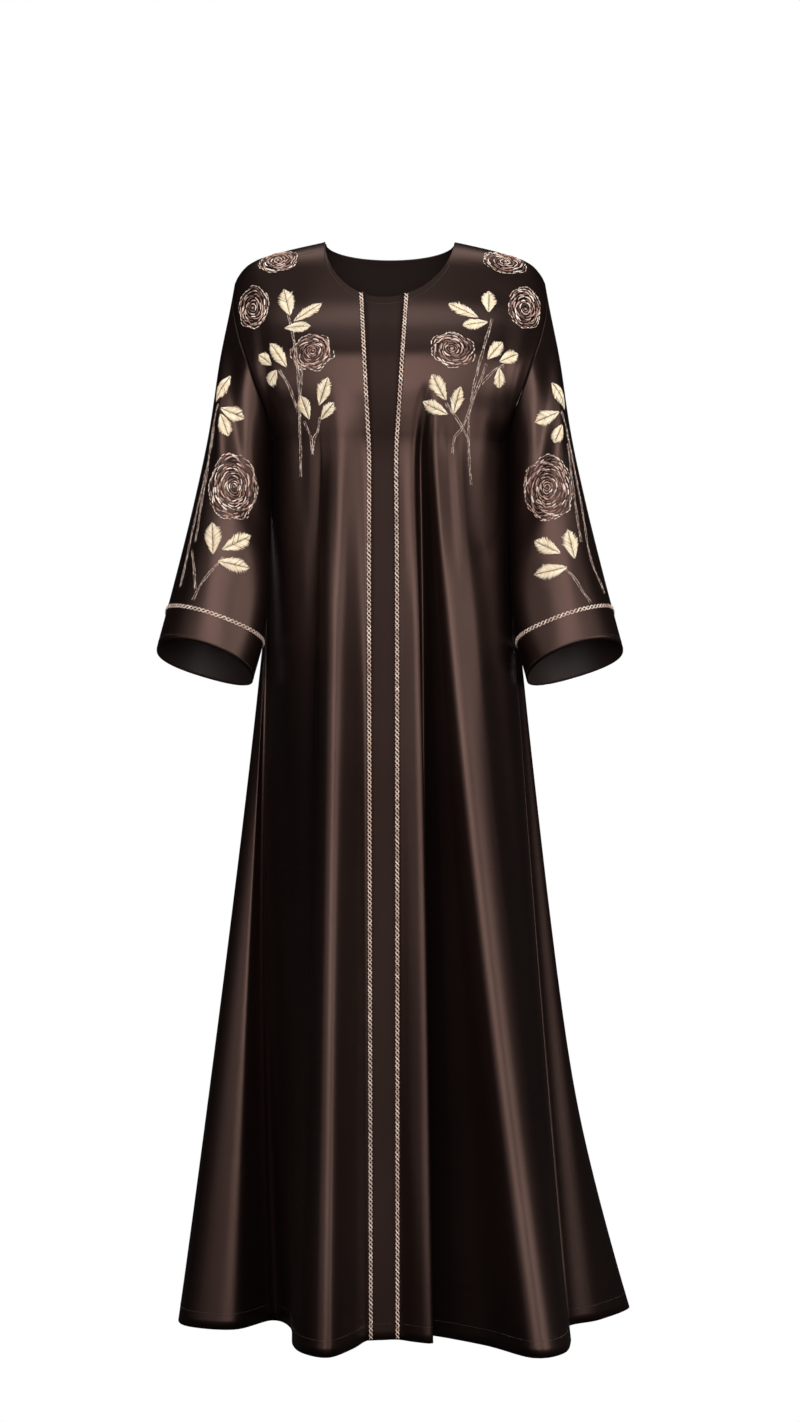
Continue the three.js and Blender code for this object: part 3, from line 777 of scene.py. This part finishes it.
panelColumns = {  # the side of each panel and its columns
    "front_right": ("front", columnsBetween(placketRight, seamRight)),
    "front_left": ("front", columnsBetween(seamLeft, placketLeft) - foldCount),
    "placket": ("front", columnsBetween(placketLeft - foldCount, placketRight)),
    "back": ("back", columnsBetween(seamRight, seamLeft)),
}
pieces = {name: addCloth(name, side, columns, bodyRows) for name, (side, columns) in panelColumns.items()}
sleeveTurns = np.arange(grids["sleeveSides"]) * 2 * math.pi / grids["sleeveSides"]
sleeveRows = np.linspace(0, 1, grids["sleeveRows"])
for name, cloth in (("sleeve_left", "sleeveLeft"), ("sleeve_right", "sleeveRight")):
    pieces[name] = addCloth(name, cloth, sleeveTurns, sleeveRows, True, sleeveShare)

print("cloth made")


# ---- threads -----------------------------------------------------------------------------------------------
def strands(centre, up, half, rise, tone, sides=5):
    # closed tubes: centre + half cos(angle) sideways + rise sin(angle) outwards, for every strand at once
    count, steps = centre.shape[:2]
    tangent = unit(np.gradient(centre, axis=1))
    sideways = unit(np.cross(tangent, up))
    angle = np.arange(sides) * 2 * math.pi / sides + math.pi / 2
    c, s = np.cos(angle)[:, None], np.sin(angle)[:, None]
    points = (
        centre[:, :, None]
        + sideways[:, :, None] * c * half[:, :, None, None]
        + up[:, :, None] * s * rise[:, :, None, None]
    )
    first = np.arange(count)[:, None, None] * steps * sides
    k = np.arange(steps - 1)[None, :, None] * sides
    i = np.arange(sides)[None, None, :]
    a, b = first + k + i, first + k + (i + 1) % sides
    quads = np.stack([a, a + sides, b + sides, b], -1).reshape(-1, 4)
    starts = first[:, 0, 0][:, None] + np.arange(sides)
    ends = starts[:, ::-1] + (steps - 1) * sides
    lengths = arcLength(centre, 1)
    v = np.repeat(lengths[:, :, None], sides, 2) * mm
    u = np.broadcast_to(np.arange(sides) / sides, v.shape)
    return {
        "points": points.reshape(-1, 3),
        "quads": quads,
        "caps": np.concatenate([starts, ends]),
        "uv": np.stack([u, v], -1).reshape(-1, 2),
        "tone": np.repeat(np.broadcast_to(tone.reshape(count, -1), (count, steps)).ravel(), sides),
    }


def addThreads(name, parts, material):
    # joins groups of strands into one piece
    shift = np.cumsum([0] + [len(part["points"]) for part in parts[:-1]])
    points = np.concatenate([part["points"] for part in parts])
    quads = np.concatenate([part["quads"] + start for part, start in zip(parts, shift)])
    caps = [part["caps"] + start for part, start in zip(parts, shift)]
    piece = addPiece(name, points, quads, [threadMaterials[material]], caps)
    setUv(piece, "lay", np.concatenate([part["uv"] for part in parts]))
    tone = piece.data.attributes.new("tone", "FLOAT", "POINT")
    tone.data.foreach_set("value", np.concatenate([part["tone"] for part in parts]).astype(np.float32))
    print(name, sum(len(part["quads"]) for part in parts) * 2, "triangles")
    return piece


def coarseGrid(cloth):
    # the part of a cloth that carries embroidery, coarsely
    centre = {"front": 0.7, "sleeveLeft": math.pi / 2, "sleeveRight": -math.pi / 2}[cloth]
    reach = 8.2 if cloth == "front" else 1.4
    a, b = np.meshgrid(np.linspace(centre - reach, centre + reach, 120), np.linspace(0.02, 1.4, 60))
    b = b if cloth == "front" else b * 0.7
    return a.ravel(), b.ravel(), cloths[cloth]["place"](a, b).reshape(-1, 3)


coarseGrids = {cloth: coarseGrid(cloth) for cloth in ("front", "sleeveLeft", "sleeveRight")}


def findPlace(cloth, x, z):
    # the (a, b) of a cloth whose front shows at x, z: the nearest of the coarse grid, then Newton's steps
    a, b, shown = coarseGrids[cloth]
    x, z = np.atleast_1d(x).astype(float), np.atleast_1d(z).astype(float)
    away = (shown[:, 0] - x[:, None]) ** 2 + (shown[:, 2] - z[:, None]) ** 2
    nearest = away.argmin(1)
    a, b = a[nearest], b[nearest]
    for _ in range(6):
        at = frameAt(cloth, a, b)
        missX, missZ = x - at["point"][..., 0], z - at["point"][..., 2]
        ax, az, bx, bz = [at[n][..., k] for n in ("overA", "overB") for k in (0, 2)]
        size = ax * bz - az * bx
        size = np.where(np.abs(size) < 1, np.sign(size) + (size == 0), size)
        a = a + np.clip((missX * bz - missZ * bx) / size, -0.3, 0.3)
        b = np.clip(b + np.clip((missZ * ax - missX * az) / size, -0.1, 0.1), 0.001, 1.99)
    return a, b


def walk(cloth, a, b, x, y, steps=5):
    # (a, b) after going x millimetres along the cloth and y up it, in even steps
    a, b = a + np.zeros_like(x), b + np.zeros_like(x)
    for _ in range(steps):
        at = frameAt(cloth, a, b)
        moveA = x / steps / (at["along"] * at["overA"]).sum(-1)
        overDown = (at["down"] * at["overA"]).sum(-1)
        moveB = (-y / steps - overDown * moveA) / (at["down"] * at["overB"]).sum(-1)
        a, b = a + moveA, np.clip(b + moveB, 0.0015, 1.999)
    return a, b


def layStrands(cloth, anchor, x, y, half, rise, lift, tone, sides=5):
    # strands whose centre lines are given flat, x to the right and y up, laid on a cloth round an anchor
    a, b = walk(cloth, anchor[0], anchor[1], x, y)
    at = frameAt(cloth, a, b)
    centre = at["point"] + at["out"] * lift[..., None]
    return strands(centre, at["out"], half, rise, tone, sides)


rose = {
    "ringGap": 2.6,  # millimetres between rings of petals
    "stitch": 8,
    "half": 0.9,
    "rise": 0.75,
    "outline": 0.55,  # half width of the pale outline's stitches
}


def layRose(cloth, x, z, halfWidth, halfHeight, spin):
    # rings of overlapping petals: each is an arc that starts inside its ring and ends outside it, swollen
    # in the middle, stitched end to end; a looser pale line runs round the outermost petals
    anchor = [value[0] for value in findPlace(cloth, x, z)]
    size = min(halfWidth, halfHeight)
    ringCount = max(4, round(size / rose["ringGap"]))
    groups = []
    for ringRow in range(ringCount + 1):
        isOutline = ringRow == ringCount
        radius = (ringRow + 0.35) / ringCount
        petals = 2 + (ringRow > 1) + (ringRow > 3) + (ringRow > 5) + (ringRow > 7)
        for petal in range(petals):
            start = spin + 2.4 * ringRow + 2 * math.pi * petal / petals
            sweep = 2 * math.pi / petals * rng.uniform(1.0, 1.18)
            length = max(1.2, sweep * radius * size)
            stitch = rose["stitch"] * rng.uniform(0.75, 1.25) * (0.6 if isOutline else 1)
            count = max(1, round(length / stitch))
            edges = np.linspace(0, 1, count + 1)
            lead = edges[:-1] + 0.06 / count
            share = lead[:, None] + (edges[1:] - edges[:-1])[:, None] * np.linspace(0, 0.9, 5)
            angle = start + sweep * share
            swell = 0.07 * np.sin(math.pi * share) + (share - 0.5) * 0.8 / ringCount
            wobble = rng.normal(0, 0.02, (count, 1)) + rng.normal(0, 0.006, share.shape)
            wave = 0.035 * np.sin(5 * angle + petal + 1.7 * ringRow)
            inset = 0.03 if isOutline else 0
            distance = radius * (1 + wobble + wave) + swell * min(1, radius * 1.6) - inset
            groups.append({
                "x": np.cos(angle) * distance * halfWidth,
                "y": np.sin(angle) * distance * halfHeight,
                "tone": np.clip(rng.normal(0.88 if isOutline else 0.48, 0.27, count), 0.05, 1),
                "thick": rng.uniform(0.75, 1.2, count) * rose["outline" if isOutline else "half"],
                "lift": np.full(count, 0.25 + 0.35 * (1 - radius) + (0.3 if isOutline else 0)),
            })
    flat = {name: np.concatenate([group[name] for group in groups]) for name in groups[0]}
    taper = np.array([0.45, 0.95, 1.0, 0.95, 0.45])
    half = flat["thick"][:, None] * taper
    rise = half * rose["rise"]
    lift = flat["lift"][:, None] + np.array([-0.25, 0.1, 0.2, 0.1, -0.25])
    return layStrands(cloth, anchor, flat["x"], flat["y"], half, rise, lift, flat["tone"])


leaf = {"threadGap": 0.8, "half": 0.56, "rise": 0.38, "slant": 0.9, "padding": 0.7}


def layLeaf(cloth, x, z, length, width, heading):
    # satin stitch: threads run from the midrib to the edge of a pointed oval, w sin(pi s^0.85), and
    # slant towards its tip; their ends are uneven. heading is degrees round from the viewer's right
    anchor = [value[0] for value in findPlace(cloth, x, z)]
    count = max(8, int(length / leaf["threadGap"]))
    share = np.tile((np.arange(count) + 0.5) / count, 2)
    side = np.repeat([-1.0, 1.0], count)
    share = share + rng.normal(0, 0.008, share.shape)
    edge = width / 2 * np.sin(math.pi * np.clip(share, 0.01, 0.99) ** 0.85)
    reach = edge * (1 + rng.normal(0.04, 0.11, share.shape))
    root = (share - 0.5) * length - 0.35 * leaf["slant"] * edge
    along = np.array([0, 0.35, 0.7, 1.0])
    u = root[:, None] + leaf["slant"] * reach[:, None] * along
    v = side[:, None] * (0.35 + reach[:, None] * along)
    u = np.clip(u, -0.52 * length, 0.56 * length)
    c, s = math.cos(math.radians(heading)), math.sin(math.radians(heading))
    half = leaf["half"] * rng.uniform(0.8, 1.2, (2 * count, 1)) * np.array([0.6, 1.0, 1.0, 0.4])
    lift = 0.1 + leaf["padding"] * np.array([0.75, 1.0, 0.7, 0.05]) * (edge / edge.max())[:, None]
    tone = np.clip(rng.normal(0.62, 0.2, 2 * count), 0.05, 1)
    rise = half * leaf["rise"] / leaf["half"]
    return layStrands(cloth, anchor, u * c - v * s, u * s + v * c, half, rise, lift, tone, 4)


def curveThrough(values, count):
    # Catmull-Rom curve through a list, its ends repeated
    values = np.asarray(values, float)
    padded = np.concatenate([2 * values[:1] - values[1:2], values, 2 * values[-1:] - values[-2:-1]])
    t = np.linspace(0, len(values) - 1, count)
    i = np.minimum(t.astype(int), len(values) - 2)
    s = t - i
    a, b, c, d = padded[i], padded[i + 1], padded[i + 2], padded[i + 3]
    return b + 0.5 * s * (c - a + s * (2 * a - 5 * b + 4 * c - d + s * (3 * (b - c) + d - a)))


def evenPath(cloth, a, b, spacing):
    # the same line with its points at even distances, and the distances
    length = arcLength(cloths[cloth]["place"](a, b)[None], 1)[0]
    count = max(2, int(length[-1] / spacing))
    wanted = (np.arange(count) + 0.5) * length[-1] / count
    return np.interp(wanted, length, a), np.interp(wanted, length, b)


stem = {"stitch": 3.2, "spacing": 2.3, "half": 0.36, "slant": 0.4, "between": 2.2}


def layStem(cloth, points):
    # a rope of short slanting stitches on each side of a smooth line through the points
    x, z = np.array(points, float).T
    a, b = findPlace(cloth, x, z)
    a, b = curveThrough(a, 160), curveThrough(b, 160)
    a, b = evenPath(cloth, a, b, stem["spacing"])
    at = frameAt(cloth, a, b)
    forward = unit(np.gradient(at["point"], axis=0))
    sideways = np.cross(forward, at["out"])
    parts = []
    for side in (-1, 1):
        sway = 0.35 * np.sin(np.arange(len(a)) * 0.45 + side + 1)
        offset = side * stem["between"] / 2 + sway + rng.normal(0, 0.12, len(a))
        lean = forward + sideways * (stem["slant"] * side)
        along = (np.linspace(-0.5, 0.5, 4) * stem["stitch"])[None, :, None]
        centre = (at["point"] + sideways * offset[:, None])[:, None] + unit(lean)[:, None] * along
        up = np.repeat(at["out"][:, None], 4, 1)
        centre = centre + up * np.array([0.05, 0.35, 0.35, 0.05])[None, :, None]
        half = stem["half"] * rng.uniform(0.75, 1.2, (len(a), 1)) * np.array([0.5, 1, 1, 0.5])
        tone = np.clip(rng.normal(0.5, 0.3, len(a)), 0.05, 1)
        parts.append(strands(centre, up, half, half * 0.85, tone, 4))
    return parts


# Each spray: roses (x, z, half width, half height, spin), leaves (x, z, length, width, heading) and stems
sprays = {
    "front_left": {
        "cloth": "front",
        "roses": [(-141, -27, 24, 17, 0.4), (-172, -89, 19, 29, 1.2), (-95, -150, 23, 23, 2.5)],
        "leaves": [
            (-129, -84, 42, 18, 97), (-102, -97, 42, 15, 33), (-114, -117, 34, 15, 350),
            (-139, -152, 42, 15, 116), (-155, -158, 24, 14, 132), (-146, -181, 22, 18, 225),
            (-105, -219, 31, 15, 105), (-82, -200, 36, 16, 68), (-77, -224, 27, 13, 48),
        ],
        "stems": [
            [(-127, -100), (-120, -130), (-114, -175), (-112, -240), (-111, -304)],
            [(-108, -165), (-111, -200), (-112, -250)],
            [(-137, -172), (-124, -195), (-114, -225)],
            [(-86, -232), (-93, -255), (-96, -277)],
            [(-106, -236), (-98, -256), (-96, -277)],
        ],
    },
    "front_right": {
        "cloth": "front",
        "roses": [(145, -29, 26, 16, 2.0), (170, -90, 21, 29, 0.7), (77, -147, 26, 22, 1.6)],
        "leaves": [
            (124, -83, 32, 17, 95), (91, -95, 43, 16, 158), (106, -113, 34, 15, 205),
            (131, -147, 34, 15, 62), (148, -156, 27, 15, 35), (136, -182, 25, 15, 282),
            (60, -195, 35, 17, 122), (55, -221, 33, 15, 158), (83, -211, 35, 14, 80),
        ],
        "stems": [
            [(128, -106), (118, -140), (106, -185), (98, -235), (101, -315)],
            [(120, -165), (107, -200), (92, -240), (77, -278)],
            [(70, -215), (84, -235), (97, -262)],
            [(142, -166), (128, -174), (114, -190)],
        ],
    },
    "sleeve_left": {
        "cloth": "sleeveLeft",
        "roses": [(-194, -317, 33, 40, 0.9)],
        "leaves": [
            (-210, -191, 38, 15, 250), (-196, -224, 33, 17, 350), (-206, -239, 30, 16, 300),
            (-220, -381, 40, 19, 100), (-189, -386, 42, 18, 30), (-193, -414, 41, 17, 355),
        ],
        "stems": [
            [(-214, -212), (-222, -250), (-228, -300), (-236, -345), (-242, -385)],
            [(-219, -240), (-230, -300), (-246, -370), (-261, -441)],
            [(-206, -405), (-224, -425), (-238, -445), (-244, -458)],
            [(-246, -395), (-243, -420), (-241, -445)],
        ],
    },
    "sleeve_right": {
        "cloth": "sleeveRight",
        "roses": [(196, -318, 33, 39, 2.2)],
        "leaves": [
            (213, -200, 38, 15, 290), (196, -229, 33, 17, 190), (210, -250, 26, 15, 240),
            (195, -392, 36, 18, 150), (225, -388, 37, 18, 95), (199, -422, 43, 17, 185),
        ],
        "stems": [
            [(214, -222), (224, -260), (238, -333), (250, -405), (268, -448)],
            [(222, -262), (230, -330), (238, -385)],
            [(212, -415), (228, -430), (240, -448), (249, -461)],
        ],
    },
}
for name, spray in sprays.items():
    cloth = spray["cloth"]
    roses = [layRose(cloth, *row) for row in spray["roses"]]
    leaves = [layLeaf(cloth, *row) for row in spray["leaves"]]
    stems = [part for points in spray["stems"] for part in layStem(cloth, points)]
    addThreads("roses_" + name, roses, "rose")
    addThreads("leaves_" + name, leaves, "leaf")
    addThreads("stems_" + name, stems, "cord")
print("embroidery made")


# ---- trims and stitching -----------------------------------------------------------------------------------
braid = {
    "loop": 5.4,  # length of one loop of the plait
    "swing": 2.0,  # of each strand from the middle
    "half": 0.74,
    "rise": 0.6,
    "lift": 1.0,
    "stepsPerLoop": 7,
}


def layBraid(cloth, a, b):
    # two strands that cross once a loop: across = swing cos(phase), height = lift + 0.35 sin(phase); each is
    # painted lighter where it rides high and darker where it passes under
    length = arcLength(cloths[cloth]["place"](a, b)[None], 1)[0]
    loops = 2 * round(length[-1] / braid["loop"] / 2)
    count = loops * braid["stepsPerLoop"] + 1
    wanted = np.linspace(0, length[-1], count)
    at = frameAt(cloth, np.interp(wanted, length, a), np.interp(wanted, length, b))
    forward = unit(np.gradient(at["point"], axis=0))
    sideways = np.cross(forward, at["out"])
    phase = np.linspace(0, math.pi * loops, count)
    parts = []
    for turn in (0, math.pi):
        across = braid["swing"] * np.cos(phase + turn)
        height = braid["lift"] + 0.35 * np.sin(phase + turn)
        centre = at["point"] + sideways * across[:, None] + at["out"] * height[:, None]
        drift = np.repeat(rng.normal(0, 0.13, loops + 1), braid["stepsPerLoop"])[:count]
        # tone: a random drift from loop to loop, plus a painted highlight where the strand rides on top and
        # painted shade where it passes under, in step with its height
        tone = np.clip(0.5 + drift + 0.2 * np.sin(phase + turn), 0.05, 1)
        half = np.full((1, count), braid["half"])
        rise = np.full((1, count), braid["rise"])
        parts.append(strands(centre[None], at["out"][None], half, rise, tone[None], 6))
    return parts


def line(start, end, count=400):
    return np.linspace(start, end, count)


trimRows = np.concatenate([line(0.0015, 1, 200), line(1.002, 1.9985, 400)])
for name, seam in (("placket_trim_left", placketLeft - foldCount), ("placket_trim_right", placketRight)):
    trim = addThreads(name, layBraid("front", np.full_like(trimRows, seam), trimRows), "cord")
    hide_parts(name)
for name, cloth in (("cuff_trim_left", "sleeveLeft"), ("cuff_trim_right", "sleeveRight")):
    turns = line(0, 2 * math.pi, 500)
    shares = sleeveShare(turns, np.full_like(turns, cuff["outer"]))
    trim = addThreads(name, layBraid(cloth, turns, shares), "cord")
    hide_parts(name)
print("trims made")

sewing = {
    "stitch": 2.9,
    "gap": 0.7,
    "half": 0.28,
    "hemRow": 1.982,  # w of the row round the hem
    "neckRow": 0.05,  # w of the rows below the top edge
    "cuffRow": 0.985,  # share of the sleeve's length
}


def layStitches(cloth, a, b):
    # a row of short straight stitches
    a, b = evenPath(cloth, a, b, sewing["stitch"] + sewing["gap"])
    at = frameAt(cloth, a, b)
    forward = unit(np.gradient(at["point"], axis=0))
    along = (np.linspace(-0.5, 0.5, 3) * sewing["stitch"])[None, :, None]
    up = np.repeat(at["out"][:, None], 3, 1)
    centre = at["point"][:, None] + forward[:, None] * along + up * np.array([0, 0.16, 0])[None, :, None]
    half = np.full((len(a), 3), sewing["half"]) * np.array([0.5, 1, 0.5])
    tone = np.clip(rng.normal(0.5, 0.2, len(a)), 0, 1)
    return strands(centre, up, half, half * 0.7, tone, 4)


stitchRows = [  # cloth, a at both ends, b, and points along the row
    ("front", placketRight, seamRight, sewing["hemRow"], 1200),
    ("front", seamLeft - foldCount, placketLeft - foldCount, sewing["hemRow"], 1200),
    ("front", placketLeft - foldCount, placketRight, sewing["hemRow"], 1200),
    ("back", seamRight, seamLeft, sewing["hemRow"], 1200),
    ("front", -6.6, 6.06, sewing["neckRow"], 300),
    ("back", 13.2, 20.6, sewing["neckRow"], 300),
    ("sleeveLeft", 0, 2 * math.pi, sewing["cuffRow"], 400),
    ("sleeveRight", 0, 2 * math.pi, sewing["cuffRow"], 400),
]
stitched = []
for cloth, start, end, b, count in stitchRows:
    a = line(start, end, count)
    stitched.append(layStitches(cloth, a, np.full_like(a, b)))
addThreads("hem_stitching", stitched, "sewing")
print("stitching made")

# ---- floor, backdrop and light -----------------------------------------------------------------------------
studio = {"floor": -1.442, "dome": 25.0}


def addStage(name, make):
    make()
    made = bpy.context.active_object
    made.name = name
    return made


floor = addStage("floor", lambda: bpy.ops.mesh.primitive_circle_add(
    vertices=96, radius=studio["dome"] - 1, fill_type="NGON", location=(0, 0, studio["floor"])))
dome = addStage("backdrop", lambda: bpy.ops.mesh.primitive_uv_sphere_add(
    segments=64, ring_count=32, radius=studio["dome"], location=(0, 0, 0)))
for stageObject in (floor, dome):
    material, shader, wire = newMaterial(stageObject.name)
    setShader(shader, material.node_tree, {
        "Base Color": (0, 0, 0, 1),
        "Roughness": 1.0,
        "Specular IOR Level": 0.0,
        "Emission Color": (1, 1, 1, 1),
        "Emission Strength": 1.0,
    })
    stageObject.data.materials.append(material)
    stageObject.visible_diffuse = False
    stageObject.visible_glossy = False
    stageObject.visible_transmission = False
    stageObject.visible_shadow = False

lights = {  # place, size across and up, power and colour
    "key": ((0.1, -6.0, -0.4), (5.0, 2.2), 175, (1.0, 0.98, 0.96)),
    "upper": ((0.1, -3.6, 1.3), (4.2, 1.7), 95, (1.0, 0.98, 0.96)),
    "right": ((4.6, -3.0, -0.5), (3.6, 2.6), 110, (1.0, 0.98, 0.97)),
    "left": ((-4.3, -3.6, -0.4), (2.8, 2.4), 34, (1.0, 0.98, 0.97)),
    "top": ((0.0, 0.2, 2.8), (2.8, 1.6), 50, (1.0, 0.99, 0.98)),
    "behind": ((0.0, 5.0, -0.3), (1.5, 2.4), 110, (1.0, 0.98, 0.96)),
}
lightTarget = (0, 0, -0.6)
for name, (place, size, power, colour) in lights.items():
    data = bpy.data.lights.new(name, "AREA")
    data.shape, data.size, data.size_y = "RECTANGLE", *size
    data.energy, data.color = power, colour
    lamp = bpy.data.objects.new(name, data)
    lamp.location = place
    aim = np.array(lightTarget) - np.array(place)
    lamp.rotation_euler = (math.atan2(math.hypot(aim[0], aim[1]), -aim[2]), 0, math.atan2(-aim[0], aim[1]))
    lamp.visible_camera = False
    bpy.context.scene.collection.objects.link(lamp)

world = bpy.data.worlds.new("studio")
world.use_nodes = True
world.node_tree.nodes["Background"].inputs["Color"].default_value = (0.5, 0.5, 0.5, 1)
world.node_tree.nodes["Background"].inputs["Strength"].default_value = 0.03
bpy.context.scene.world = world
bpy.context.scene.view_settings.view_transform = "Standard"
print("studio ready")
